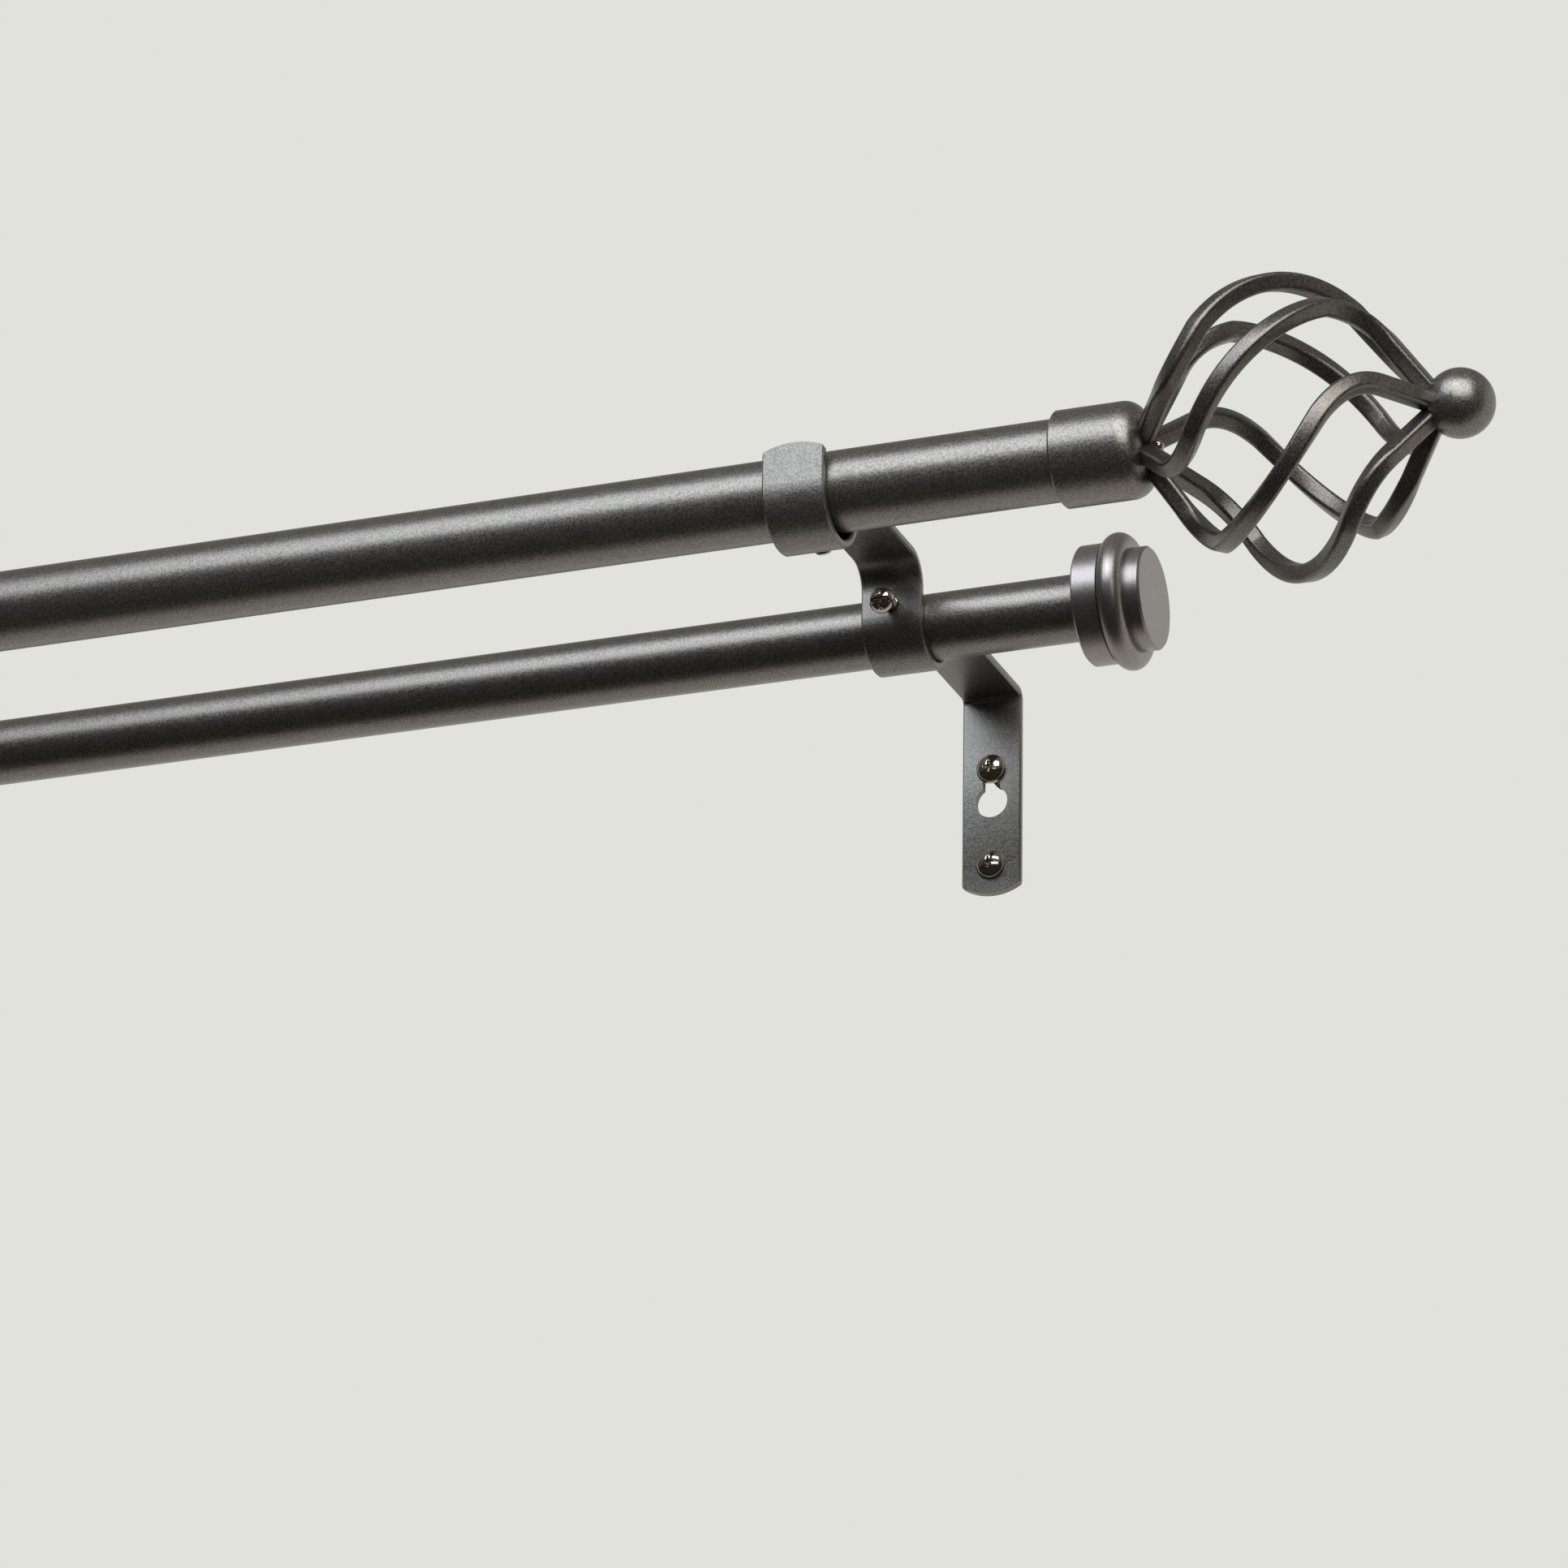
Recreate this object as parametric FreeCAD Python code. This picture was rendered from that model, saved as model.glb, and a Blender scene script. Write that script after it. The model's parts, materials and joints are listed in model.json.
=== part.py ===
"""Double curtain pole: two telescopic steel poles on a pair of folded wall straps, with twisted
cage finials on the front pole and turned end caps on the rear pole.

Millimetres, +Z up. The wall is the plane Y = 0 and the room lies towards -Y. X runs along the poles.
The origin is the middle of the four wall screws.
"""
import FreeCAD
import Part
import math
import os

Vector = FreeCAD.Vector
AXIS_X = Vector(1, 0, 0)
AXIS_Y = Vector(0, 1, 0)
AXIS_Z = Vector(0, 0, 1)

# Poles
pole_length = 700.0             # front pole, closed, without its finials
front_outer_diameter = 19.0
front_inner_diameter = 16.0
rear_outer_diameter = 16.0
rear_inner_diameter = 13.0
inner_tube_wall = 1.0
slide_clearance = 0.3           # radial gap between a pole's two tubes
inner_end_setback = 80.0        # inner tube's far end from the outer tube's, closed
stop_gap = 0.5                  # between an outer tube's mouth and the sleeve that stops it
sleeve_fit = 0.1                # radial gap inside and outside a plastic sleeve

# Wall strap, one folded strip
wall_to_rear_pole = 64.0
rear_to_front_pole = 64.0
front_pole_height = 31.2        # above the middle of the wall screws
rear_pole_drop = 7.4            # rear pole below front pole
strap_width = 15.0
strap_thickness = 2.0
strap_edge_break = 0.4          # chamfer along the strip's edges
cradle_clearance = 0.2          # radial gap between a cradle and its pole
front_cradle_sink = 1.5         # front cradle's centre below the front pole's axis
lip_height = 8.3                # above the front pole's axis
lip_end_radius = 18.0
front_arm_height = 6.0          # middle of the strip above the front pole's axis
rear_arm_height = 1.2
cradle_exit_radius = 4.0        # bends on the middle of the strip
front_arm_drop_radius = 7.0
plate_bend_radius = 2.2
plate_drop = 51.1               # lower end of the wall plate below the front pole's axis
plate_end_radius = 13.4

# Wall screws and their holes
wall_screw_spacing = 25.0
wall_screw_shank = 4.0
wall_screw_neck = 3.0           # plain shank inside the plate
wall_screw_head = 7.5
wall_screw_dome = 2.7
wall_screw_length = 16.0        # below the head
wall_screw_tip = 7.0
screw_hole_clearance = 0.2      # radial
keyhole_mouth_diameter = 8.2
keyhole_mouth_drop = 8.45       # mouth's centre below the upper screw

# Set screws
rear_set_shank = 3.4
rear_set_head = 6.2
rear_set_dome = 2.4
rear_set_reach = 6.4            # from the underside of the head to the strap
rear_set_height = 2.8           # where it enters the strap, above the rear pole's axis
rear_set_tilt = 15.0            # degrees, head lower than tip
front_set_diameter = 4.0
front_set_proud = 1.2           # below the cradle
front_set_chamfer = 0.5
front_set_angle = 48.0          # degrees below the horizontal, towards the wall
set_screw_clearance = 0.05
set_screw_gap = 0.1             # between a screw's tip and the pole

# Screw heads and their recesses
head_rim_share = 1 / 3          # straight rim below the dome, of the head's height
cross_share = 0.55              # of the head's diameter
cross_width = 1.0
cross_depth = 1.3
slot_width = 0.8
slot_depth = 0.9

# Finial
strap_to_cup = 60.4             # strap's middle to the cup's rim
cup_wall = 1.45                 # round the socket
cup_length = 20.8
cup_shoulder = 5.0
cup_end_wall = 2.4
cup_rim_round = 0.5
socket_clearance = 0.25         # radial, over a pole
mouth_cover = 8.0               # outer tube inside the moving cup when the pole is closed
cage_length = 65.0
cage_bars = 6
bar_size = 4.2
bar_chamfer = 0.8
leg_rise_start = 4.3            # bar's middle from the axis, at the cup
leg_run = 12.2                  # along the axis, from the cup to the bend
leg_rise_end = 23.2             # bar's middle from the axis, at the bend
bend_run = 9.5                  # along the bar, on each side of the bend
belly_rise = 9.4                # belly's middle beyond the bends
cage_twist = 101.0              # degrees, from bend to bend
cage_phase = 8.0                # degrees, first bar at the belly's middle
twist_slack = 0.3               # share of the twist that the belly's middle gives to its ends
ball_diameter = 15.8
leg_spans = 4                   # lofted spans of half a bar
bend_spans = 6
belly_spans = 5
rivet_diameter = 3.0
rivet_proud = 3.4
rivet_head = 6.0
rivet_head_height = 1.2

# Rear end cap
strap_to_cap = 45.5             # strap's middle to the cap's rim
cap_base_wall = 6.05            # round the socket
cap_base_length = 6.2
cap_bead_proud = 2.0            # beyond the base ring
cap_bead_width = 6.2
cap_disc_inset = 2.0            # inside the base ring
cap_disc_length = 3.8
cap_edge_round = 0.5
cap_socket_depth = 11.0
cap_mouth_cover = 5.0           # outer tube inside the moving cap when the pole is closed

# Worked out from the sizes above
front_y = -(wall_to_rear_pole + rear_to_front_pole)
front_z = front_pole_height
rear_y = -wall_to_rear_pole
rear_z = front_pole_height - rear_pole_drop
front_radius = front_outer_diameter / 2
rear_radius = rear_outer_diameter / 2
cup_socket_depth = cup_length - cup_end_wall
front_end_x = pole_length / 2
cup_rim_x = front_end_x - cup_socket_depth
strap_x = cup_rim_x - strap_to_cup
cap_rim_x = strap_x + strap_to_cap
rear_end_x = cap_rim_x + cap_socket_depth
half_thickness = strap_thickness / 2
cutter_depth = 3 * strap_thickness
plate_y = -strap_thickness


def save(name, shape):
    shape.exportStep("parts/" + name + ".step")


def tube(outer_radius, bore_radius, start_x, end_x, y, z):
    """Round tube along X."""
    length = end_x - start_x
    start = Vector(start_x, y, z)
    outside = Part.makeCylinder(outer_radius, length, start, AXIS_X)
    return outside.cut(Part.makeCylinder(bore_radius, length, start, AXIS_X))


def turned(edges):
    """Solid of revolution about the X axis from the edges of a closed outline in the XY plane."""
    return Part.Face(Part.Wire(edges)).revolve(Vector(0, 0, 0), AXIS_X, 360)


def line(start, end):
    return Part.LineSegment(start, end).toShape()


def arc(start, middle, end):
    return Part.Arc(start, middle, end).toShape()


def corner_arc(corner, before, after, radius):
    """Start, middle and end of the arc of this radius in the corner between two directions."""
    turn = before.getAngle(after)
    trim = radius * math.tan(turn / 2)
    start = corner - before * trim
    end = corner + after * trim
    inward = (after - before).normalize()
    middle = corner + inward * (radius / math.cos(turn / 2) - radius)
    return start, middle, end


def strip_side(corners, radii, side):
    """Edges of one side of a folded strip, from the corners and bend radii of its middle line."""
    offset = side * half_thickness
    runs = [(end - start).normalize() for start, end in zip(corners, corners[1:])]
    normals = [run.cross(AXIS_X) for run in runs]
    edges = []
    position = corners[0] + normals[0] * offset
    for index, radius in enumerate(radii):
        before = runs[index]
        after = runs[index + 1]
        corner = corners[index + 1] + (normals[index] + normals[index + 1]) * offset
        towards = normals[index].dot(after)
        start, middle, end = corner_arc(corner, before, after, radius - offset * towards)
        if position.distanceToPoint(start) > strap_edge_break:
            edges.append(line(position, start))
        edges.append(arc(start, middle, end))
        position = end
    edges.append(line(position, corners[-1] + normals[-1] * offset))
    return edges


def strap_outline():
    """Face of the folded strip, seen along X."""
    front_bend = front_radius + cradle_clearance + half_thickness
    rear_bend = rear_radius + cradle_clearance + half_thickness
    front_floor = front_z - front_cradle_sink - front_bend
    rear_floor = rear_z - rear_bend
    front_arm = front_z + front_arm_height
    rear_arm = front_z + rear_arm_height
    plate_middle = plate_y / 2
    path = [
        (front_y - front_bend, front_z + lip_height),
        (front_y - front_bend, front_floor),
        (front_y + front_bend, front_floor),
        (front_y + front_bend, front_arm),
        (rear_y - rear_bend, front_arm),
        (rear_y - rear_bend, rear_floor),
        (rear_y + rear_bend, rear_floor),
        (rear_y + rear_bend, rear_arm),
        (plate_middle, rear_arm),
        (plate_middle, front_z - plate_drop),
    ]
    radii = [front_bend, front_bend, cradle_exit_radius, front_arm_drop_radius,
             rear_bend, rear_bend, cradle_exit_radius, plate_bend_radius]
    corners = [Vector(0, y, z) for y, z in path]
    near = strip_side(corners, radii, 1)
    far = strip_side(corners, radii, -1)
    ends = [line(near[0].Vertexes[0].Point, far[0].Vertexes[0].Point),
            line(near[-1].Vertexes[-1].Point, far[-1].Vertexes[-1].Point)]
    edges = Part.__sortEdges__(near + far + ends)
    return Part.Face(Part.Wire(edges))


def round_end(y, z, radius, up):
    """Cutter that leaves the strip's end at height z as a shallow arc; up is 1 or -1."""
    start_y = y - cutter_depth / 2
    sagitta = radius - math.sqrt(radius ** 2 - (strap_width / 2) ** 2)
    block = Part.makeBox(strap_width, cutter_depth, 2 * sagitta)
    block.translate(Vector(-strap_width / 2, start_y, z - sagitta))
    disc = Part.makeCylinder(radius, cutter_depth, Vector(0, start_y, z - up * radius), AXIS_Y)
    return block.cut(disc)


def keyhole():
    """Cutter for the upper wall screw's keyhole, mouth below and slot above."""
    slot_radius = wall_screw_shank / 2 + screw_hole_clearance
    mouth_radius = keyhole_mouth_diameter / 2
    top = wall_screw_spacing / 2
    mouth_z = top - keyhole_mouth_drop
    start_y = (plate_y - cutter_depth) / 2
    mouth = Part.makeCylinder(mouth_radius, cutter_depth, Vector(0, start_y, mouth_z), AXIS_Y)
    end = Part.makeCylinder(slot_radius, cutter_depth, Vector(0, start_y, top), AXIS_Y)
    slot = Part.makeBox(2 * slot_radius, cutter_depth, keyhole_mouth_drop)
    slot.translate(Vector(-slot_radius, start_y, mouth_z))
    return mouth.fuse([end, slot])


def rear_set_line():
    """Entry point and direction of the rear set screw."""
    tilt = math.radians(rear_set_tilt)
    wall_y = rear_y - rear_radius - cradle_clearance - strap_thickness
    return Vector(0, wall_y, rear_z + rear_set_height), Vector(0, math.cos(tilt), math.sin(tilt))


def front_set_line():
    """Centre of the front pole and direction from it down to the front set screw."""
    angle = math.radians(front_set_angle)
    return Vector(0, front_y, front_z), Vector(0, math.cos(angle), -math.sin(angle))


def front_cradle_depth():
    """Distance along the front set screw from the pole's axis to the outside of the cradle."""
    outside = front_radius + cradle_clearance + strap_thickness
    down = front_cradle_sink * math.sin(math.radians(front_set_angle))
    return down + math.sqrt(outside ** 2 - front_cradle_sink ** 2 + down ** 2)


def strap():
    """One folded strip with rounded ends, screw holes and broken edges, in the plane X = 0."""
    body = strap_outline().extrude(AXIS_X * strap_width)
    body.translate(AXIS_X * (-strap_width / 2))
    lip_y = front_y - front_radius - cradle_clearance - half_thickness
    body = body.cut([round_end(lip_y, front_z + lip_height, lip_end_radius, 1),
                     round_end(plate_y / 2, front_z - plate_drop, plate_end_radius, -1)])
    rims = [edge for edge in body.Edges if on_strap_side(edge)]
    body = body.makeChamfer(strap_edge_break, rims)
    lower_start = Vector(0, (plate_y - cutter_depth) / 2, -wall_screw_spacing / 2)
    lower = Part.makeCylinder(wall_screw_shank / 2 + screw_hole_clearance, cutter_depth,
                              lower_start, AXIS_Y)
    entry, direction = rear_set_line()
    rear_hole = Part.makeCylinder(rear_set_shank / 2 + set_screw_clearance, cutter_depth,
                                  entry - direction * strap_thickness, direction)
    pole, down = front_set_line()
    front_hole = Part.makeCylinder(front_set_diameter / 2 + set_screw_clearance, cutter_depth,
                                   pole + down * front_radius, down)
    return body.cut([keyhole(), lower, rear_hole, front_hole])


def on_strap_side(edge):
    """True for an edge that lies whole in one of the strip's two flat sides."""
    return all(abs(abs(vertex.X) - strap_width / 2) < strap_edge_break / 10 for vertex in edge.Vertexes)


def pan_screw(shank, head, dome, length, tip):
    """Domed cross-head screw along +Y, underside of the head at the origin."""
    rim = dome * head_rim_share
    outline = [
        Vector(0, -dome, 0), Vector(head / 2, -rim, 0), Vector(head / 2, 0, 0),
        Vector(shank / 2, 0, 0), Vector(shank / 2, length - tip, 0), Vector(0, length, 0)]
    rise = dome - rim
    sphere = ((head / 2) ** 2 + rise ** 2) / (2 * rise)
    half_angle = math.asin(head / 2 / sphere) / 2
    crown = Vector(sphere * math.sin(half_angle), -dome + sphere * (1 - math.cos(half_angle)), 0)
    edges = [arc(outline[0], crown, outline[1])]
    closed = outline[1:] + outline[:1]
    edges += [line(start, end) for start, end in zip(closed, closed[1:])]
    body = Part.Face(Part.Wire(edges)).revolve(Vector(0, 0, 0), AXIS_Y, 360)
    reach = head * cross_share
    for size_x, size_z in ((reach, cross_width), (cross_width, reach)):
        recess = Part.makeBox(size_x, cross_depth, size_z)
        recess.translate(Vector(-size_x / 2, -dome, -size_z / 2))
        body = body.cut(recess)
    return body


def wall_screw():
    """Pan screw whose shank is slimmer where it passes through the plate."""
    screw = pan_screw(wall_screw_shank, wall_screw_head, wall_screw_dome, wall_screw_length, wall_screw_tip)
    outside = Part.makeCylinder(wall_screw_shank, strap_thickness, Vector(0, 0, 0), AXIS_Y)
    neck = Part.makeCylinder(wall_screw_neck / 2, strap_thickness, Vector(0, 0, 0), AXIS_Y)
    return screw.cut(outside.cut(neck))


def wall_screws():
    """The strap's two wall screws, heads against the plate."""
    screws = []
    for side in (1, -1):
        screw = wall_screw()
        screw.translate(Vector(0, plate_y, side * wall_screw_spacing / 2))
        screws.append(screw)
    return Part.makeCompound(screws)


def rear_set_screw():
    """Cross-head screw that stands in front of the rear cradle, its tip against the rear pole."""
    entry, direction = rear_set_line()
    offset = entry - Vector(0, rear_y, rear_z)
    along = offset.dot(direction)
    across = (offset - direction * along).Length
    tip_distance = -along - math.sqrt((rear_radius + set_screw_gap) ** 2 - across ** 2)
    bluntness = rear_set_shank / 2 * across / rear_radius
    length = rear_set_reach + tip_distance - bluntness
    screw = pan_screw(rear_set_shank, rear_set_head, rear_set_dome, length, bluntness)
    screw.rotate(Vector(0, 0, 0), AXIS_X, rear_set_tilt)
    screw.translate(entry - direction * rear_set_reach)
    return screw


def front_set_screw():
    """Headless slotted screw under the front cradle, its flat tip against the front pole."""
    pole, down = front_set_line()
    top = front_radius + set_screw_gap
    length = front_cradle_depth() + front_set_proud - top
    body = Part.makeCylinder(front_set_diameter / 2, length)
    outer_rim = [edge for edge in body.Edges if edge.BoundBox.ZMin > length / 2 and edge.Closed]
    body = body.makeChamfer(front_set_chamfer, outer_rim)
    slot = Part.makeBox(2 * front_set_diameter, slot_width, slot_depth)
    slot.translate(Vector(-front_set_diameter, -slot_width / 2, length - slot_depth))
    body = body.cut(slot)
    body.rotate(Vector(0, 0, 0), AXIS_X, -90 - front_set_angle)
    body.translate(pole + down * top)
    return body


def socket_outline_end(bore, depth, rim):
    """Corner points of a blind socket of this bore, from its mouth's rim to its end on the axis."""
    return [Vector(0, rim, 0), Vector(0, bore, 0), Vector(depth, bore, 0), Vector(depth, 0, 0)]


def cup():
    """Turned cup with a rounded shoulder, its mouth at the origin, bored through for the rivet."""
    bore = front_radius + socket_clearance
    radius = bore + cup_wall
    flat = radius - cup_shoulder
    diagonal = cup_shoulder * math.sqrt(0.5)
    mouth = socket_outline_end(bore, cup_socket_depth, radius - cup_rim_round)
    shoulder_start = Vector(cup_length - cup_shoulder, radius, 0)
    shoulder_end = Vector(cup_length, flat, 0)
    shoulder_middle = Vector(cup_length - cup_shoulder + diagonal, flat + diagonal, 0)
    rim_start = Vector(cup_rim_round, radius, 0)
    tip = Vector(cup_length, 0, 0)
    edges = [line(mouth[0], mouth[1]), line(mouth[1], mouth[2]), line(mouth[2], mouth[3]),
             line(mouth[3], tip), line(tip, shoulder_end),
             arc(shoulder_end, shoulder_middle, shoulder_start),
             line(shoulder_start, rim_start), line(rim_start, mouth[0])]
    hole = Part.makeCylinder(rivet_diameter / 2, cup_length, Vector(0, 0, 0), AXIS_X)
    return turned(edges).cut(hole)


def belly_point(share):
    """Bar's middle line on the belly, share -1 at the cup's bend and 1 at the ball's."""
    turn = math.radians(cage_twist) / 2 * (share - twist_slack * share * (1 - share ** 2))
    rise = leg_rise_end + belly_rise * (1 - share ** 2)
    along = cage_length / 2 + (cage_length / 2 - leg_run) * share
    return Vector(along, rise * math.cos(turn), -rise * math.sin(turn))


def half_bar_points():
    """Middle line of half a bar, from inside the cup's end to the belly's middle."""
    bend = belly_point(-1)
    leg_end = Vector(0, bend.y, bend.z) * (leg_rise_start / leg_rise_end)
    leg = (bend - leg_end).normalize()
    start = leg_end - leg * bar_size
    bend_start = bend - leg * bend_run
    bend_share = -1 + bend_run / (belly_point(0) - bend).Length
    bend_end = belly_point(bend_share)
    points = [start + (bend_start - start) * (index / leg_spans) for index in range(leg_spans)]
    for index in range(bend_spans):
        share = index / bend_spans
        points.append(bend_start * (1 - share) ** 2 + bend * (2 * share * (1 - share))
                      + bend_end * share ** 2)
    points += [belly_point(bend_share * (1 - index / belly_spans)) for index in range(belly_spans + 1)]
    return points


def bar_points():
    """Whole middle line: the second half is the first turned end for end."""
    first = half_bar_points()
    second = [Vector(cage_length - point.x, point.y, -point.z) for point in first[:-1]]
    return first + second[::-1]


def bar_section(centre, tangent):
    """Square with chamfered corners across the bar, one face turned outwards from the cage's axis."""
    radial = Vector(0, centre.y, centre.z)
    outward = (radial - tangent * radial.dot(tangent)).normalize()
    sideways = tangent.cross(outward)
    half = bar_size / 2
    flat = half - bar_chamfer
    corners = []
    faces = ((outward, sideways), (sideways, -outward), (-outward, -sideways), (-sideways, outward))
    for across, beside in faces:
        corners += [centre + across * half - beside * flat, centre + across * half + beside * flat]
    return Part.makePolygon(corners + corners[:1])


def mitre(x, turn):
    """Cutter that keeps a bar's root inside its own share of the circle round the cage's axis."""
    size = 2 * leg_rise_start
    share = 2 * math.pi / cage_bars
    tip = Vector(x - size / 2, 0, 0)
    far = 2 * size
    left = tip + Vector(0, far * math.cos(turn - share / 2), far * math.sin(turn - share / 2))
    right = tip + Vector(0, far * math.cos(turn + share / 2), far * math.sin(turn + share / 2))
    wedge = Part.Face(Part.makePolygon([tip, left, right, tip])).extrude(AXIS_X * size)
    return Part.makeCylinder(size, size, tip, AXIS_X).cut(wedge)


def ball_centre():
    """Place on the axis where the ball's surface meets the middle of the bars' ends."""
    return cage_length + math.sqrt((ball_diameter / 2) ** 2 - leg_rise_start ** 2)


def cage_bar():
    """One twisted bar of the cage, its cup end on the plane X = 0 and its other end on the ball."""
    points = bar_points()
    sections = []
    for index, point in enumerate(points):
        before = points[max(index - 1, 0)]
        after = points[min(index + 1, len(points) - 1)]
        sections.append(bar_section(point, (after - before).normalize()))
    body = Part.makeLoft(sections, True, False)
    wide = 4 * leg_rise_end
    behind = Part.makeBox(wide, wide, wide, Vector(-wide, -wide / 2, -wide / 2))
    ball = Part.makeSphere(ball_diameter / 2, Vector(ball_centre(), 0, 0))
    past = Part.makeBox(wide, wide, wide, Vector(ball_centre(), -wide / 2, -wide / 2))
    rivet = Part.makeCylinder(rivet_diameter / 2, rivet_proud, Vector(0, 0, 0), AXIS_X)
    half_twist = math.radians(cage_twist) / 2
    return body.cut([behind, past, ball, rivet, mitre(0, half_twist), mitre(cage_length, -half_twist)])


def rivet():
    """Domed rivet through the cup's end wall, head inside the cup."""
    radius = rivet_diameter / 2
    start = cup_socket_depth - rivet_head_height
    end = cup_length + rivet_proud
    diagonal = radius * math.sqrt(0.5)
    outline = [Vector(start, 0, 0), Vector(start, rivet_head / 2, 0),
               Vector(cup_socket_depth, rivet_head / 2, 0), Vector(cup_socket_depth, radius, 0),
               Vector(end - radius, radius, 0)]
    edges = [line(first, second) for first, second in zip(outline, outline[1:])]
    dome_middle = Vector(end - radius + diagonal, diagonal, 0)
    edges += [arc(outline[-1], dome_middle, Vector(end, 0, 0)), line(Vector(end, 0, 0), outline[0])]
    return turned(edges)


def finial():
    """Named pieces of one finial along +X, the cup's mouth at the origin."""
    pieces = {"cup": cup(), "rivet": rivet()}
    bar = cage_bar()
    bar.translate(AXIS_X * cup_length)
    for index in range(cage_bars):
        copy = bar.copy()
        copy.rotate(Vector(0, 0, 0), AXIS_X, 180 - cage_phase - index * 360 / cage_bars)
        pieces["cage_bar_" + str(index + 1)] = copy
    pieces["ball"] = Part.makeSphere(ball_diameter / 2, Vector(cup_length + ball_centre(), 0, 0))
    return pieces


def end_cap():
    """Turned end cap along +X: base ring, round bead, flat disc and a blind socket in the base."""
    bore = rear_radius + socket_clearance
    base = bore + cap_base_wall
    disc = base - cap_disc_inset
    bead_radius = cap_bead_width / 2
    bead_centre = cap_base_length + bead_radius
    bead_middle = base + cap_bead_proud - bead_radius
    bead_end = cap_base_length + cap_bead_width
    length = bead_end + cap_disc_length
    socket = socket_outline_end(bore, cap_socket_depth, base - cap_edge_round)
    edges = [line(start, end) for start, end in zip(socket, socket[1:])]
    front = [socket[-1], Vector(length, 0, 0), Vector(length, disc - cap_edge_round, 0),
             Vector(length - cap_edge_round, disc, 0), Vector(bead_end, disc, 0),
             Vector(bead_end, bead_middle, 0)]
    edges += [line(start, end) for start, end in zip(front, front[1:])]
    bead_foot = Vector(cap_base_length, bead_middle, 0)
    edges.append(arc(front[-1], Vector(bead_centre, bead_middle + bead_radius, 0), bead_foot))
    back = [bead_foot, Vector(cap_base_length, base, 0), Vector(cap_edge_round, base, 0), socket[0]]
    edges += [line(start, end) for start, end in zip(back, back[1:])]
    return turned(edges)


def place(shape, x, y, z, side):
    """Copy of a piece built along +X, on the right end (side 1) or turned round on the left (-1)."""
    copy = shape.copy()
    if side < 0:
        copy.rotate(Vector(0, 0, 0), AXIS_Z, 180)
    copy.translate(Vector(side * x, y, z))
    return copy


def pole_tubes(name, outer, inner, end_x, cover, socket_depth, y, z):
    """Outer tube, inner tube and plastic sleeve of one pole, closed."""
    inner_radius = inner / 2
    moving_end = -end_x
    mouth = moving_end + socket_depth - cover
    save(name + "_outer_tube", tube(outer / 2, inner_radius + slide_clearance, mouth, end_x, y, z))
    save(name + "_inner_tube", tube(inner_radius, inner_radius - inner_tube_wall, moving_end,
                                    end_x - inner_end_setback, y, z))
    sleeve_outside = outer / 2 + socket_clearance - sleeve_fit
    save(name + "_sleeve", tube(sleeve_outside, inner_radius + sleeve_fit, moving_end,
                                mouth - stop_gap, y, z))


def main():
    os.makedirs("parts", exist_ok=True)
    pole_tubes("front", front_outer_diameter, front_inner_diameter, front_end_x, mouth_cover,
               cup_socket_depth, front_y, front_z)
    pole_tubes("rear", rear_outer_diameter, rear_inner_diameter, rear_end_x, cap_mouth_cover,
               cap_socket_depth, rear_y, rear_z)
    bracket = {"wall_strap": strap(), "wall_screws": wall_screws(),
               "rear_set_screw": rear_set_screw(), "front_set_screw": front_set_screw()}
    finial_pieces = finial()
    cap = end_cap()
    for side, label in ((1, "right_"), (-1, "left_")):
        for name, shape in bracket.items():
            copy = shape.copy()
            copy.translate(AXIS_X * (side * strap_x))
            save(label + name, copy)
        for name, shape in finial_pieces.items():
            save(label + name, place(shape, cup_rim_x, front_y, front_z, side))
        save(label + "end_cap", place(cap, cap_rim_x, rear_y, rear_z, side))


main()
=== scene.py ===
# %% [markdown]
# A double curtain pole, seen from below as it hangs on the wall. The solids come packed from the CAD step
# and stay where they are. This lesson adds what solids alone do not show: the rounded square bars of the
# twisted cages, threads and cross recesses on the screws, and the finishes. The imported part is loaded
# first.

# %% Load the imported part
import json
import math

import bpy
import numpy as np
from mathutils import Matrix, Vector


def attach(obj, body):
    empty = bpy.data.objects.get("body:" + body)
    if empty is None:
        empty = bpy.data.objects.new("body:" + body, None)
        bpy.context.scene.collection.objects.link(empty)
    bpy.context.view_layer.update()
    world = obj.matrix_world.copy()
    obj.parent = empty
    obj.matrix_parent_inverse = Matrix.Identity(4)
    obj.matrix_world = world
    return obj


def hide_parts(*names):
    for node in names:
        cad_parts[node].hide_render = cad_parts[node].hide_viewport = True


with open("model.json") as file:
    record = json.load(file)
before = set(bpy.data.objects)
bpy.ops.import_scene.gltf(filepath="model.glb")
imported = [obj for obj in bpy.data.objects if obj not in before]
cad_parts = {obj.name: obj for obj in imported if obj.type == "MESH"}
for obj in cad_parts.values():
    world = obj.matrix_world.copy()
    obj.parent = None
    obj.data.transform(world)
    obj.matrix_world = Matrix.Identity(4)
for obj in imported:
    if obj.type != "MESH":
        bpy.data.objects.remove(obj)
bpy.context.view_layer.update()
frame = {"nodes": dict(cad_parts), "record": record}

scene = bpy.context.scene
scene.view_settings.view_transform = "Standard"

# %% [markdown]
# The camera stands low in the room, to the right, and looks up at the end of the pole with a long lens.
# Its place could be found by trial, but three angles and a distance say it better: turn round the
# vertical, tilt up, roll a little, then read the lens from how fast lines along the pole converge.

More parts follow.
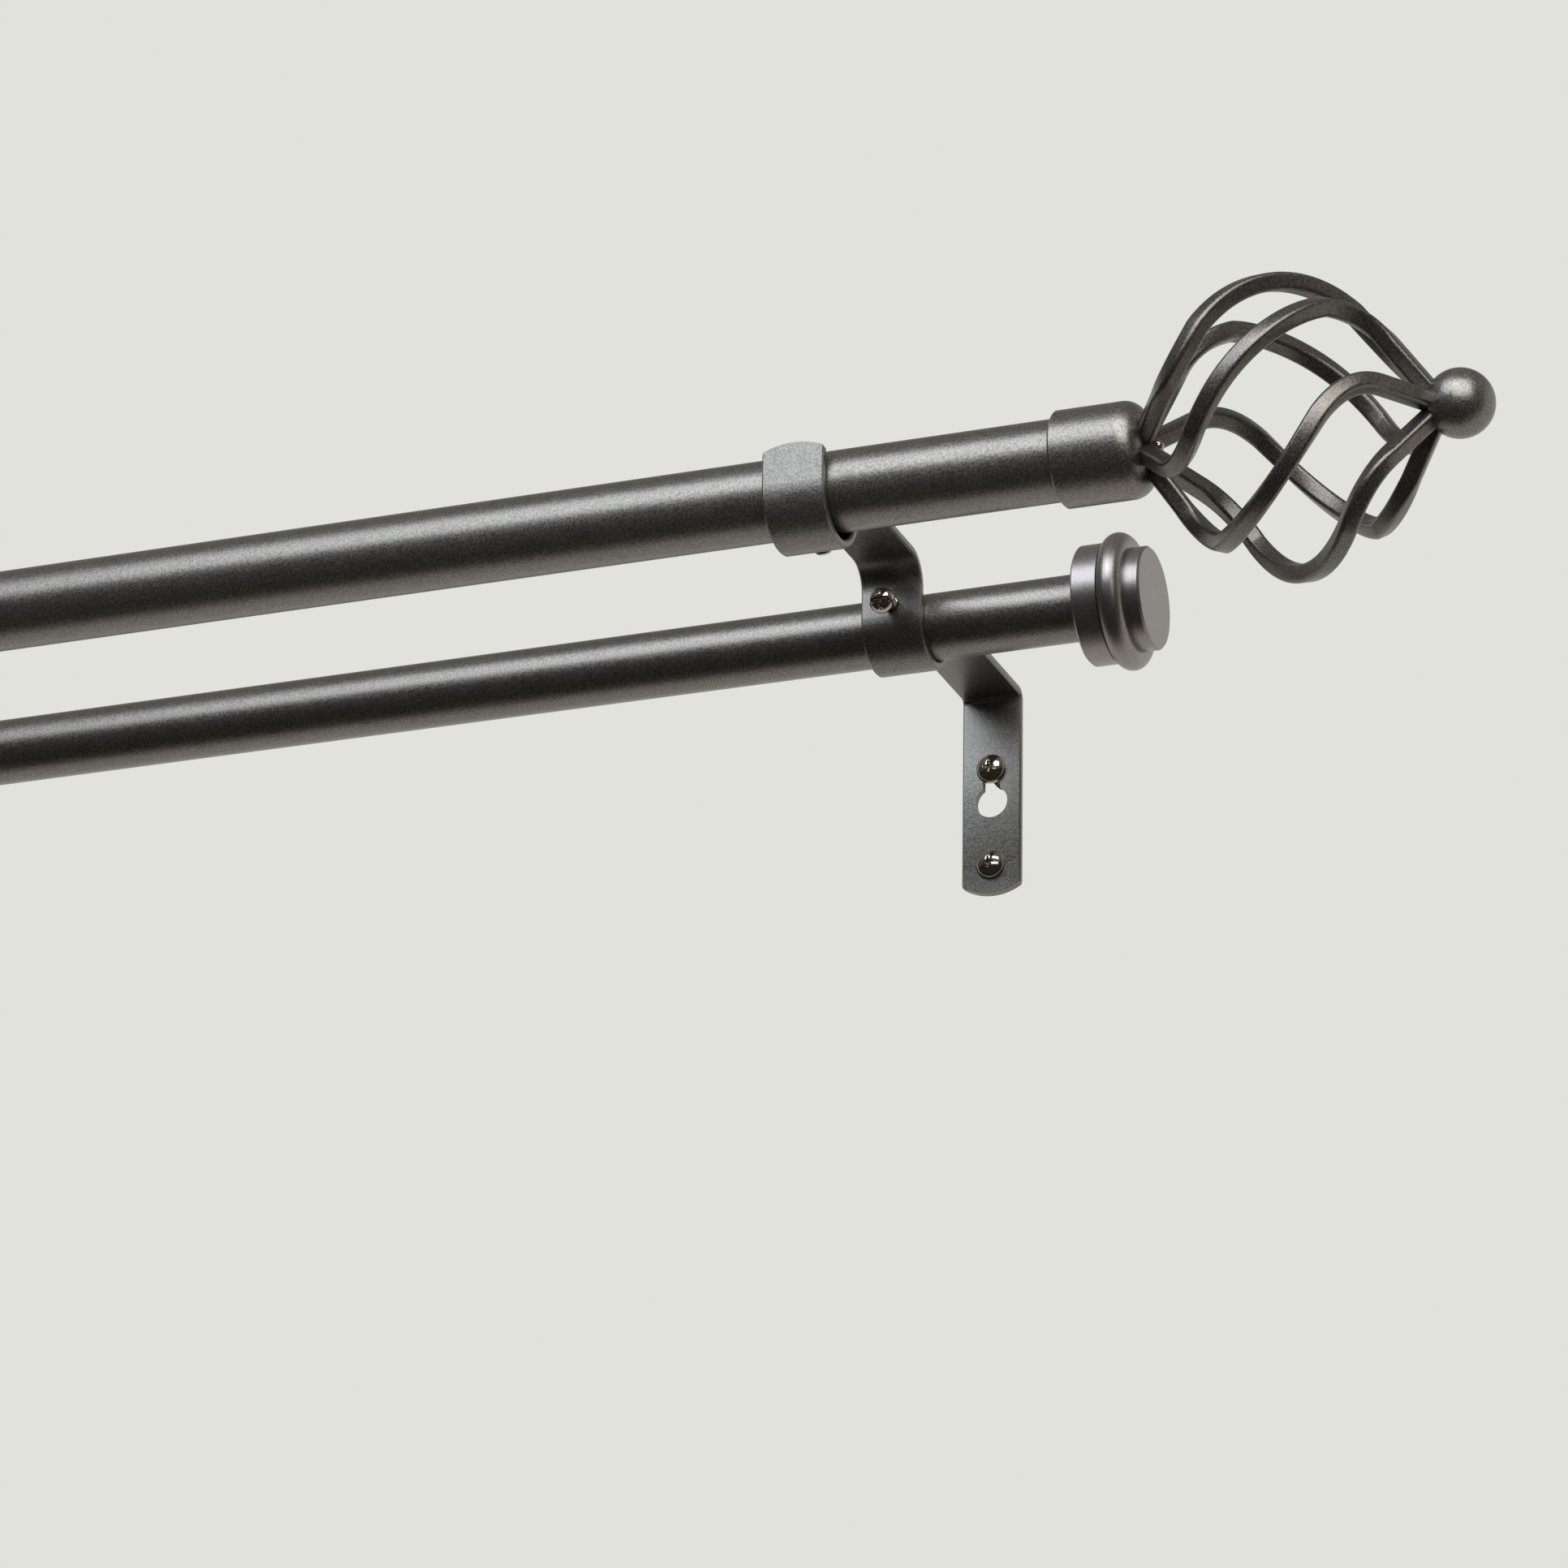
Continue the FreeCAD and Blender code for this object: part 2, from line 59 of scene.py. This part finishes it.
# %% Camera
CAMERA_PLACE = (0.749147, -1.367728, -0.576063)
CAMERA_TURN, CAMERA_TILT, CAMERA_ROLL = math.radians(21.29), math.radians(21.98), math.radians(1.073)
camera_data = bpy.data.cameras.new("camera")
camera_data.sensor_width = 36.0
camera_data.lens = 146.88
camera = bpy.data.objects.new("camera", camera_data)
camera.matrix_world = (
    Matrix.Translation(CAMERA_PLACE)
    @ Matrix.Rotation(CAMERA_TURN, 4, "Z")
    @ Matrix.Rotation(math.pi / 2 + CAMERA_TILT, 4, "X")
    @ Matrix.Rotation(CAMERA_ROLL, 4, "Z")
)
scene.collection.objects.link(camera)
scene.camera = camera
print("camera looks along", [round(x, 3) for x in camera.matrix_world.to_3x3() @ Vector((0, 0, -1))])

# %% [markdown]
# Finishes are node trees. Drawing them by hand in the shader editor is slow to read back, so a small class
# wraps an output socket and lets Python's own operators add the Math nodes. The reflected forms let a plain
# number stand first, as in 1 - mask.

# %% Sums of sockets
class Wire:
    """An output socket used in sums: each operator adds one Math node to the same tree."""

    def __init__(self, graph, socket):
        self.graph, self.socket = graph, socket

    def maths(self, operation, first, second):
        return self.graph.add("Math", {0: first, 1: second}, operation=operation)

    def __add__(self, other):
        return self.maths("ADD", self, other)

    def __sub__(self, other):
        return self.maths("SUBTRACT", self, other)

    def __rsub__(self, other):
        return self.maths("SUBTRACT", other, self)

    def __mul__(self, other):
        return self.maths("MULTIPLY", self, other)

    __radd__, __rmul__ = __add__, __mul__


print("Wire knows +, - and *")

# %% [markdown]
# Every other node comes from one method that takes its type, its sockets and its settings. Three kinds that
# every finish needs get a short name on top of it: a colour between two colours, a cloudy noise whose lumps
# are given in metres, and a smooth step.

# %% Node trees
class Graph:
    """A node tree, emptied. add() makes any node: settings are set first, then sockets are filled."""

    def __init__(self, tree):
        self.tree = tree
        tree.nodes.clear()

    def add(self, kind, sockets=None, output=0, **settings):
        node = self.tree.nodes.new("ShaderNode" + kind)
        for name, value in settings.items():
            setattr(node, name, value)
        for name, value in (sockets or {}).items():
            if isinstance(value, Wire):
                self.tree.links.new(value.socket, node.inputs[name])
            else:
                node.inputs[name].default_value = value
        return Wire(self, node.outputs[output]) if node.outputs else None

    def mix(self, share, first, second):
        """Colour between two colours, by share."""
        return self.add("Mix", {0: share, 6: first, 7: second}, output=2, data_type="RGBA")

    def noise(self, place, size, detail=2.0, roughness=0.5):
        """Cloudy value between 0 and 1 whose lumps measure about size metres."""
        return self.add("TexNoise", {"Vector": place, "Scale": 1 / size, "Detail": detail,
                                     "Roughness": roughness})

    def ease(self, value, low, high):
        """0 below low, 1 above high, with a smooth step between."""
        return self.add("MapRange", {"Value": value, "From Min": low, "From Max": high},
                        interpolation_type="SMOOTHSTEP")


def new_finish(name):
    """An empty material and its graph."""
    material = bpy.data.materials.new(name)
    material.use_nodes = True
    return material, Graph(material.node_tree)


print("Graph makes nodes, new_finish makes materials")

# %% [markdown]
# The poles, cups, cages and balls wear one satin graphite paint with metal flake in it. Flake could be
# modelled as tiny mirrors; at this distance it only shows as a fine mottle, so a noise of about half a
# millimetre and a wider one vary colour and roughness, and a faint bump gives the sprayed skin. The thin
# bars of the cages should look darker than the tubes, so the same paint is made once more for them in a
# darker mix: painted shade, standing in for shade that the lamps and the room do not give them.

# %% Graphite paint
FLAKE_SIZE, CLOUD_SIZE, SPRAY_SIZE = 0.00045, 0.006, 0.0011
FLAKE_SHARE, MOTTLE_LOW, MOTTLE_HIGH = 0.9, 0.34, 0.66
SPRAY_SHARE, SPRAY_STRENGTH, SPRAY_GRAIN = 0.4, 0.5, 0.00009
FLAKE_METAL, SATIN, MOTTLE_DULLING = 0.9, 0.305, 0.08


def graphite_paint(name, dark, light, roughness=SATIN, grain=SPRAY_GRAIN):
    """Metal paint: flake mottle between two colours, roughness that follows it, skin of height grain."""
    material, graph = new_finish(name)
    place = graph.add("TexCoord", output="Object")
    flake = graph.noise(place, FLAKE_SIZE, detail=2.0, roughness=0.6)
    cloud = graph.noise(place, CLOUD_SIZE, detail=3.0)
    spray = graph.noise(place, SPRAY_SIZE, detail=1.0)
    mottle = graph.ease(flake * FLAKE_SHARE + cloud * (1 - FLAKE_SHARE), MOTTLE_LOW, MOTTLE_HIGH)
    height = flake * (1 - SPRAY_SHARE) + spray * SPRAY_SHARE
    normal = graph.add("Bump", {"Height": height, "Strength": SPRAY_STRENGTH, "Distance": grain})
    shader = graph.add("BsdfPrincipled", {
        "Base Color": graph.mix(mottle, dark, light), "Metallic": FLAKE_METAL,
        "Roughness": roughness + mottle * MOTTLE_DULLING, "Normal": normal})
    graph.add("OutputMaterial", {"Surface": shader})
    return material


paint = graphite_paint("graphite_paint", (0.138, 0.126, 0.113, 1), (0.258, 0.236, 0.212, 1))
# Painted shade: the bars get a darker copy of the same paint, in place of shade the lighting does not give.
bar_shade_paint = graphite_paint("graphite_bar_shade_paint", (0.102, 0.091, 0.08, 1), (0.192, 0.172, 0.152, 1))
print("made", paint.name, "and", bar_shade_paint.name)

# %% [markdown]
# The wall straps are powder coated in nearly the same colour. Powder melts into a grainy skin that scatters
# light more evenly than sprayed paint. It could be displaced for real, but the grain is only about a tenth
# of a millimetre high, so the paint serves again, with a higher bump and a duller surface.

# %% Powder coat
POWDER_DULL, POWDER_GRAIN = 0.34, 0.00012
powder = graphite_paint("graphite_powder", (0.138, 0.129, 0.117, 1), (0.244, 0.228, 0.207, 1),
                        POWDER_DULL, POWDER_GRAIN)
print("made", powder.name)

# %% [markdown]
# The end caps are turned on a lathe and painted a slightly violet pewter. The tool leaves rings about the
# axis of the rear pole, and the paint lays a fine grain over them. An anisotropic shader could draw out the
# highlights, but it needs a tangent at every point; here one noise is read at the distance from the axis and
# the place along it, which makes rings, and a second one is read in space, which makes the grain.

# %% Pewter paint
REAR_AXIS = (0.0, -0.064, 0.0238)
RING_SIZE, GRAIN_SIZE = 0.0005, 0.0006
RING_TONE, TONE_LOW, TONE_HIGH, DARKER, LIGHTER = 0.25, 0.3, 0.7, 0.86, 1.1
RING_HEIGHT, PEWTER_STRENGTH, PEWTER_GRAIN = 0.35, 0.26, 0.00005
PEWTER_METAL, GRAIN_DULLING = 0.92, 0.08


def pewter_paint(name, colour, roughness):
    """Turned and painted metal: rings about the rear pole's axis, a fine grain over them."""
    material, graph = new_finish(name)
    place = graph.add("TexCoord", output="Object")
    centred = graph.add("Mapping", {"Vector": place, "Location": tuple(-x for x in REAR_AXIS)})
    across = graph.add("VectorMath", {0: centred, 1: (0.0, 1.0, 1.0)}, operation="MULTIPLY")
    radius = graph.add("VectorMath", {0: across}, output="Value", operation="LENGTH")
    along = graph.add("SeparateXYZ", {"Vector": centred}, output="X")
    rings = graph.noise(graph.add("CombineXYZ", {"X": radius, "Y": along}), RING_SIZE)
    grain = graph.noise(place, GRAIN_SIZE, roughness=0.6)
    mottle = graph.ease(rings * RING_TONE + grain * (1 - RING_TONE), TONE_LOW, TONE_HIGH)
    dark, light = (tuple(share * c for c in colour) + (1,) for share in (DARKER, LIGHTER))
    normal = graph.add("Bump", {"Height": rings * RING_HEIGHT + grain, "Strength": PEWTER_STRENGTH,
                                "Distance": PEWTER_GRAIN})
    shader = graph.add("BsdfPrincipled", {
        "Base Color": graph.mix(mottle, dark, light), "Metallic": PEWTER_METAL,
        "Roughness": roughness + grain * GRAIN_DULLING, "Normal": normal})
    graph.add("OutputMaterial", {"Surface": shader})
    return material


pewter = pewter_paint("pewter_paint", (0.284, 0.254, 0.245), 0.305)
print("made", pewter.name)

# %% [markdown]
# Screws and rivets are plated in dark nickel: a hard mirror with a warm tint, dulled a little by handling.
# A perfect mirror would be simpler, but it turns black wherever the room is dark, so a small part of the
# plate scatters light, and a haze of about a millimetre varies tint and roughness.

# %% Dark nickel
HAZE_SIZE, NICKEL_METAL, POLISH, HAZE_DULLING = 0.0009, 0.95, 0.07, 0.06


def dark_nickel(name, dark, light):
    """Glossy plate whose tint and roughness drift with a fine haze."""
    material, graph = new_finish(name)
    haze = graph.noise(graph.add("TexCoord", output="Object"), HAZE_SIZE, detail=3.0)
    shader = graph.add("BsdfPrincipled", {
        "Base Color": graph.mix(haze, dark, light), "Metallic": NICKEL_METAL,
        "Roughness": POLISH + haze * HAZE_DULLING})
    graph.add("OutputMaterial", {"Surface": shader})
    return material


nickel = dark_nickel("dark_nickel", (0.38, 0.33, 0.275, 1), (0.46, 0.405, 0.345, 1))
print("made", nickel.name)

# %% [markdown]
# The sleeves inside the poles are moulded black plastic and hardly show. A plain dark colour would nearly
# do; a fine grain in colour, roughness and bump keeps them from looking painted when a pole is pulled out.

# %% Moulded plastic
MOULD_SIZE, MOULD_STRENGTH, MOULD_GRAIN, MATT, MOULD_DULLING = 0.0004, 0.3, 0.00005, 0.5, 0.1


def moulded_plastic(name, dark, light):
    """Plastic with a fine moulded grain between two colours."""
    material, graph = new_finish(name)
    grain = graph.noise(graph.add("TexCoord", output="Object"), MOULD_SIZE)
    normal = graph.add("Bump", {"Height": grain, "Strength": MOULD_STRENGTH, "Distance": MOULD_GRAIN})
    shader = graph.add("BsdfPrincipled", {
        "Base Color": graph.mix(grain, dark, light), "Roughness": MATT + grain * MOULD_DULLING,
        "Normal": normal})
    graph.add("OutputMaterial", {"Surface": shader})
    return material


plastic = moulded_plastic("black_plastic", (0.02, 0.02, 0.021, 1), (0.036, 0.036, 0.037, 1))
print("made", plastic.name)

# %% [markdown]
# The solids are dressed next. Each one could be named here with its finish, but the record already gives
# every CAD node a slot, so each node takes the finish of its slot, and a node added later is dressed without
# a new line.

# %% Dress the solids
FINISHES = {"graphite_paint": paint, "graphite_powder": powder, "pewter_paint": pewter,
            "dark_nickel": nickel, "black_plastic": plastic}
for entry in frame["record"]["subparts"]:
    mesh = frame["nodes"][entry["node"]].data
    mesh.materials.clear()
    mesh.materials.append(FINISHES[entry["material_slot"]])

# %% [markdown]
# New pieces are surfaces: a grid of points, in rows along the piece and columns round it. One helper joins
# the columns into closed rings and the rows into quads, and caps both ends, so each piece only has to say
# where its points lie. A piece that stands for a solid takes its body from that solid, and the finish of its
# slot unless it is given another.

# %% Skin over a grid
SLOTS = {entry["node"]: entry["material_slot"] for entry in frame["record"]["subparts"]}
BODIES = {node: body for body, nodes in frame["record"]["behaviour"]["bodies"].items() for node in nodes}
MM = 0.001
SHARP_ANGLE = math.radians(35)


def skin(node, grids, finish=None):
    """One mesh for a CAD node, over grids (rows, columns, 3) in millimetres; columns close into rings.
    Returns how many faces it has."""
    faces, first = [], 0
    for grid in grids:
        rows, columns = grid.shape[:2]
        here = first + np.arange(rows * columns).reshape(rows, columns)
        beside = np.roll(here, -1, axis=1)
        quads = np.stack([here[:-1], beside[:-1], beside[1:], here[1:]], axis=-1).reshape(-1, 4)
        faces += quads.tolist() + [here[0, ::-1].tolist(), here[-1].tolist()]
        first += rows * columns
    mesh = bpy.data.meshes.new(node + "_skin")
    points = np.concatenate([grid.reshape(-1, 3) for grid in grids]) * MM
    mesh.from_pydata(points.tolist(), [], faces)
    mesh.polygons.foreach_set("use_smooth", np.ones(len(faces), bool))
    mesh.set_sharp_from_angle(angle=SHARP_ANGLE)
    mesh.materials.append(finish or FINISHES[SLOTS[node]])
    piece = bpy.data.objects.new(node + "_skin", mesh)
    scene.collection.objects.link(piece)
    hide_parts(node)
    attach(piece, BODIES[node])
    return len(faces)


print("skin covers any of", len(SLOTS), "nodes")

# %% [markdown]
# A cage is six square bars. Each leaves the cup as a straight leg, bends, swells round the belly while it
# turns about the axis, and comes back to the ball. It could be drawn as a Bezier curve by eye, but a bar and
# its five copies must meet the cup and the ball exactly, so the middle line is written as a formula.

# %% Middle line of a bar
CAGE_LENGTH, LEG_RUN, ROOT_RISE, BEND_RISE, BELLY_RISE = 65.0, 12.2, 4.3, 23.2, 9.4
BEND_RUN, HALF_TWIST, TWIST_SLACK, ROOT_DEPTH = 9.5, math.radians(50.5), 0.3, 3.0
BEND_ROWS, BELLY_ROWS = 24, 32


def unit(vectors):
    """Each vector divided by its own length."""
    return vectors / np.linalg.norm(vectors, axis=-1, keepdims=True)


def belly(share):
    """Middle line from bend (-1) to bend (1): rise above the axis is a parabola, the turn nearly even."""
    turn = HALF_TWIST * (share - TWIST_SLACK * share * (1 - share**2))
    rise = BEND_RISE + BELLY_RISE * (1 - share**2)
    along = CAGE_LENGTH / 2 + (CAGE_LENGTH / 2 - LEG_RUN) * share
    return np.stack([along, rise * np.cos(turn), -rise * np.sin(turn)], axis=-1)


def bar_line():
    """Half a middle line is a straight leg, a parabola in the bend, then the belly; the rest is its turn."""
    corner = belly(np.array(-1.0))
    root = corner * (0.0, ROOT_RISE / BEND_RISE, ROOT_RISE / BEND_RISE)
    leg = unit(corner - root)
    share = -1 + BEND_RUN / np.linalg.norm(belly(np.array(0.0)) - corner)
    inside, bend_start, bend_end = root - leg * ROOT_DEPTH, corner - leg * BEND_RUN, belly(np.array(share))
    t = np.linspace(0, 1, BEND_ROWS, endpoint=False)[:, None]
    bend = bend_start * (1 - t)**2 + corner * 2 * t * (1 - t) + bend_end * t**2
    belly_half = belly(np.linspace(share, 0, BELLY_ROWS))
    half = np.concatenate([inside + (bend_start - inside) * t, bend, belly_half])
    return np.concatenate([half, (half * (-1, 1, -1) + (CAGE_LENGTH, 0, 0))[-2::-1]])


print("a bar's middle line has", len(bar_line()), "points")

# %% [markdown]
# The bars are drawn steel with softly rounded corners under the paint. A curve object with a bevel could
# carry the section, but it would roll freely; here one face of the square must look outwards all the way.
# So the section is set out from the middle line along two directions, outwards and sideways. The left cage
# is the right one turned half round the vertical, as on a real pair of finials.

# %% Cage bars
BAR_HALF, BAR_ROUND, CORNER_COLUMNS = 2.1, 1.0, 9
CAGE_BARS, CAGE_PHASE = 6, math.radians(8.0)
CUP_END, FRONT_AXIS = 352.4, np.array([0.0, -128.0, 31.2])


def bar_grid():
    """Rounded square carried along the middle line: middle + outwards * real + sideways * imaginary part."""
    line = bar_line()
    tangent = unit(np.gradient(line, axis=0))
    radial = line * (0, 1, 1)
    outward = unit(radial - tangent * np.sum(radial * tangent, axis=-1, keepdims=True))
    sideways = np.cross(tangent, outward)
    arc = np.exp(1j * np.linspace(0, np.pi / 2, CORNER_COLUMNS))
    corner = (BAR_HALF - BAR_ROUND) * (1 + 1j) + BAR_ROUND * arc
    ring = (1j ** np.arange(4)[:, None] * corner).reshape(1, -1, 1)
    return line[:, None] + outward[:, None] * ring.real + sideways[:, None] * ring.imag


bar, bar_faces = bar_grid(), 0
for number in range(CAGE_BARS):
    angle = math.pi - CAGE_PHASE - number * 2 * math.pi / CAGE_BARS
    right = bar @ np.array(Matrix.Rotation(-angle, 3, "X")) + (CUP_END, 0, 0)
    # The bars take the darker copy of the paint, so their shade is painted into the colour.
    bar_faces += skin(f"right_cage_bar_{number + 1}", [right + FRONT_AXIS], bar_shade_paint)
    bar_faces += skin(f"left_cage_bar_{number + 1}", [right * (-1, -1, 1) + FRONT_AXIS], bar_shade_paint)
print("cages have", 2 * CAGE_BARS, "bars with", bar_faces, "faces")

# %% [markdown]
# The screws get what the solids leave plain: a rounder dome, a cross recess with soft walls, and a rolled
# thread. Booleans and a Screw modifier could cut them, at the price of ragged meshes. A screw is nearly a
# lathe profile, so here it is one, with something added at each angle.

# %% Surface of a screw
SCREW_COLUMNS, DOME_ROWS, ROWS_PER_TURN = 96, 64, 12
FIRST_SWING, RECESS_WALL, ARM_END_SLOPE, FLOOR_RISE = 0.01, 0.12, 4, 0.4
RIDGE_HALF, TIP_SHARE = 0.24, 0.02


def screw_grid(origin, direction, cross, arm, depth, head, dome, neck, neck_length, core, outer, length,
               tip, pitch):
    """Rows from the crown to the tip: radius and place along the screw, as arrays over row and angle.
    The dome is a quarter ellipse: radius is a sine and height a cosine. The recess is a depth below it,
    within arm of either line of the cross, as far out as the share cross of the head. The thread is a ridge
    that moves along by one pitch in each turn, and core and ridge taper to the tip."""
    angle = np.linspace(0, 2 * np.pi, SCREW_COLUMNS, endpoint=False)[None]
    half, swing = head / 2, np.linspace(FIRST_SWING, np.pi / 2, DOME_ROWS)[:, None]
    crown = half * np.sin(swing) + 0 * angle
    sides = np.abs(np.stack([crown * np.cos(angle), crown * np.sin(angle)]))
    across, out = sides.min(axis=0), sides.max(axis=0) / (half * cross)
    walls = np.clip((arm - across) / RECESS_WALL, 0, 1) * np.clip(ARM_END_SLOPE * (1 - out), 0, 1)
    crown_along = depth * walls * (1 - FLOOR_RISE * out) - dome * np.cos(swing)
    plain = np.array([(neck, 0.0), (neck, neck_length)])[:, :, None] + 0 * angle
    turns = (length - neck_length) / pitch
    along = np.linspace(neck_length, length, int(turns * ROWS_PER_TURN))[:, None] + 0 * angle
    phase = (along / pitch - angle / (2 * np.pi)) % 1
    run_in = np.clip((along - neck_length) / pitch, 0, 1)
    ridge = np.clip(1 - np.abs(phase - 0.5) / RIDGE_HALF, 0, 1) * run_in
    taper = np.clip((length - along) / tip, TIP_SHARE, 1)
    radius = np.concatenate([crown, plain[:, 0], (core + (outer - core) * ridge) * taper])[..., None]
    along = np.concatenate([crown_along, plain[:, 1], along])[..., None]
    side = np.array([1.0, 0.0, 0.0])
    other = np.cross(direction, side)
    spoke = side * np.cos(angle)[..., None] + other * np.sin(angle)[..., None]
    return origin + direction * along + spoke * radius


print("a dome has", DOME_ROWS, "rows of", SCREW_COLUMNS, "points")

# %% [markdown]
# Two wall screws hold each strap, one above the other, and a set screw clamps the rear pole from the front,
# tilted a little upwards. The same surface gives both, from two lists of sizes in millimetres.

# %% Place the screws
WALL_SCREW = dict(cross=0.38, arm=0.27, depth=0.9, head=7.5, dome=2.7, neck=1.5, neck_length=2.0, core=1.4,
                  outer=2.0, length=16.0, tip=7.0, pitch=1.6)
SET_SCREW = dict(cross=0.76, arm=0.66, depth=1.4, head=6.2, dome=2.4, neck=1.7, neck_length=5.6, core=1.4,
                 outer=1.7, length=8.3, tip=1.14, pitch=0.7)
STRAP_X, PLATE_FRONT, HALF_SPAN = 271.2, -2.0, 12.5
WALL_DIRECTION = np.array([0.0, 1.0, 0.0])
SET_TILT, SET_STAND_OFF, CRADLE_HOLE = math.radians(15.0), 6.4, np.array([0.0, -74.2, 26.6])
SET_DIRECTION = np.array([0.0, math.cos(SET_TILT), math.sin(SET_TILT)])
SET_HEAD = CRADLE_HOLE - SET_STAND_OFF * SET_DIRECTION
screw_faces = 0
for label, x in (("right", STRAP_X), ("left", -STRAP_X)):
    wall = [screw_grid(np.array([x, PLATE_FRONT, z]), WALL_DIRECTION, **WALL_SCREW)
            for z in (HALF_SPAN, -HALF_SPAN)]
    screw_faces += skin(label + "_wall_screws", wall)
    lock = screw_grid(SET_HEAD + (x, 0, 0), SET_DIRECTION, **SET_SCREW)
    screw_faces += skin(label + "_rear_set_screw", [lock])
print("screws have", screw_faces, "faces")

# %% [markdown]
# Two soft lamps light the pole, as large as windows so that their mirror images on the tubes are broad. The
# key lamp is cool and stands high, a little to the left; it draws the highlight along the tubes and straps.
# The side lamp is warmer, stands to the right and reaches lower; the ball, the caps and the cages see it. One
# larger lamp could do both, but then the tubes and the ball could not be balanced.

# %% Lamps
LIT_PLACE, LAMP_DISTANCE = Vector((0.30, -0.128, 0.03)), 1.8
COOL_LIGHT, WARM_LIGHT = (0.88, 0.99, 1.10), (0.96, 0.99, 1.01)


def add_lamp(name, azimuth, elevation, width, height, watts, colour):
    """Rectangular soft lamp, seen from the lit place at these angles in degrees (azimuth from -Y to +X)."""
    a, e = math.radians(azimuth), math.radians(elevation)
    towards = Vector((math.sin(a) * math.cos(e), -math.cos(a) * math.cos(e), math.sin(e)))
    data = bpy.data.lights.new(name, "AREA")
    data.shape, data.size, data.size_y = "RECTANGLE", width, height
    data.energy, data.color = watts, colour
    lamp = bpy.data.objects.new(name, data)
    lamp.location = LIT_PLACE + towards * LAMP_DISTANCE
    lamp.rotation_mode = "QUATERNION"
    lamp.rotation_quaternion = (-towards).to_track_quat("-Z", "Y")
    scene.collection.objects.link(lamp)
    print(name, "stands at", [round(x, 2) for x in lamp.location])


add_lamp("key_lamp", azimuth=-17, elevation=35.5, width=1.3, height=1.35, watts=21.0, colour=COOL_LIGHT)
add_lamp("side_lamp", azimuth=27, elevation=27, width=1.6, height=1.75, watts=36.0, colour=WARM_LIGHT)

# %% [markdown]
# Around the pole is a dim room, darkest below, which draws the deep band along the middle of the tubes. The
# camera sees a pale wall instead of it, and so do the reflections that look towards the wall, up to where
# its lit part ends. A real wall behind the pole would take shadows and block the views from the back, so
# the world itself answers by the kind of ray that asks.

# %% Room and wall
WALL_COLOUR = (0.753, 0.760, 0.716, 1)
ROOM_BELOW, ROOM_ABOVE = (0.018, 0.015, 0.012, 1), (0.22, 0.215, 0.205, 1)
ROOM_LOW, ROOM_HIGH = -0.1, 0.9
WALL_STARTS, WALL_FULL, LIT_FADES, LIT_ENDS = -0.12, 0.38, 0.4, 0.85
world = bpy.data.worlds.new("studio")
world.use_nodes = True
scene.world = world
sky = Graph(world.node_tree)
facing = sky.add("TexCoord", output="Generated")
to_wall = sky.add("SeparateXYZ", {"Vector": facing}, output="Y")
upward = sky.add("SeparateXYZ", {"Vector": facing}, output="Z")
room = sky.mix(sky.ease(upward, ROOM_LOW, ROOM_HIGH), ROOM_BELOW, ROOM_ABOVE)
lit_wall = sky.ease(to_wall, WALL_STARTS, WALL_FULL) * (1 - sky.ease(upward, LIT_FADES, LIT_ENDS))
seen = sky.add("LightPath", output="Is Camera Ray") + sky.add("LightPath", output="Is Transmission Ray")
seen = seen + sky.add("LightPath", output="Is Glossy Ray") * lit_wall
background = sky.add("Background", {"Color": sky.mix(seen, room, WALL_COLOUR), "Strength": 1.0})
sky.add("OutputWorld", {"Surface": background})
print("room and wall ready in", world.name)

# %% [markdown]
# The floor lies far below, as under a real curtain pole. Lit like the rest it would be a grey field with a
# hard horizon, and more light would spoil the pole. So the camera sees four parts of a pale colour of its
# own and one part of light and shadow, while the pole still gets the light of a matt floor.

# %% Floor
FLOOR_DROP, FLOOR_HALF, SPECKLE_SIZE = 1.7, 30.0, 0.05
FLOOR_DARK, FLOOR_LIGHT = (0.70, 0.705, 0.665, 1), (0.73, 0.735, 0.695, 1)
FLOOR_PALE, PALE_SHARE = (0.91, 0.92, 0.865, 1), 0.8
corners = np.array([(-1, -1), (1, -1), (1, 1), (-1, 1)], float) * FLOOR_HALF
floor_mesh = bpy.data.meshes.new("floor")
floor_mesh.from_pydata(np.column_stack([corners, np.full(4, -FLOOR_DROP)]).tolist(), [], [(0, 1, 2, 3)])
floor = bpy.data.objects.new("floor", floor_mesh)
scene.collection.objects.link(floor)
floor_finish, graph = new_finish("pale_floor")
speckle = graph.noise(graph.add("TexCoord", output="Object"), SPECKLE_SIZE, detail=3.0)
matt = graph.add("BsdfDiffuse", {"Color": graph.mix(speckle, FLOOR_DARK, FLOOR_LIGHT)})
pale = graph.add("Emission", {"Color": FLOOR_PALE, "Strength": 1.0})
seen = graph.add("LightPath", output="Is Camera Ray") + graph.add("LightPath", output="Is Transmission Ray")
graph.add("OutputMaterial", {"Surface": graph.add("MixShader", {0: seen * PALE_SHARE, 1: matt, 2: pale})})
floor_mesh.materials.append(floor_finish)
floor.visible_glossy = False
print("floor lies", FLOOR_DROP, "m below")
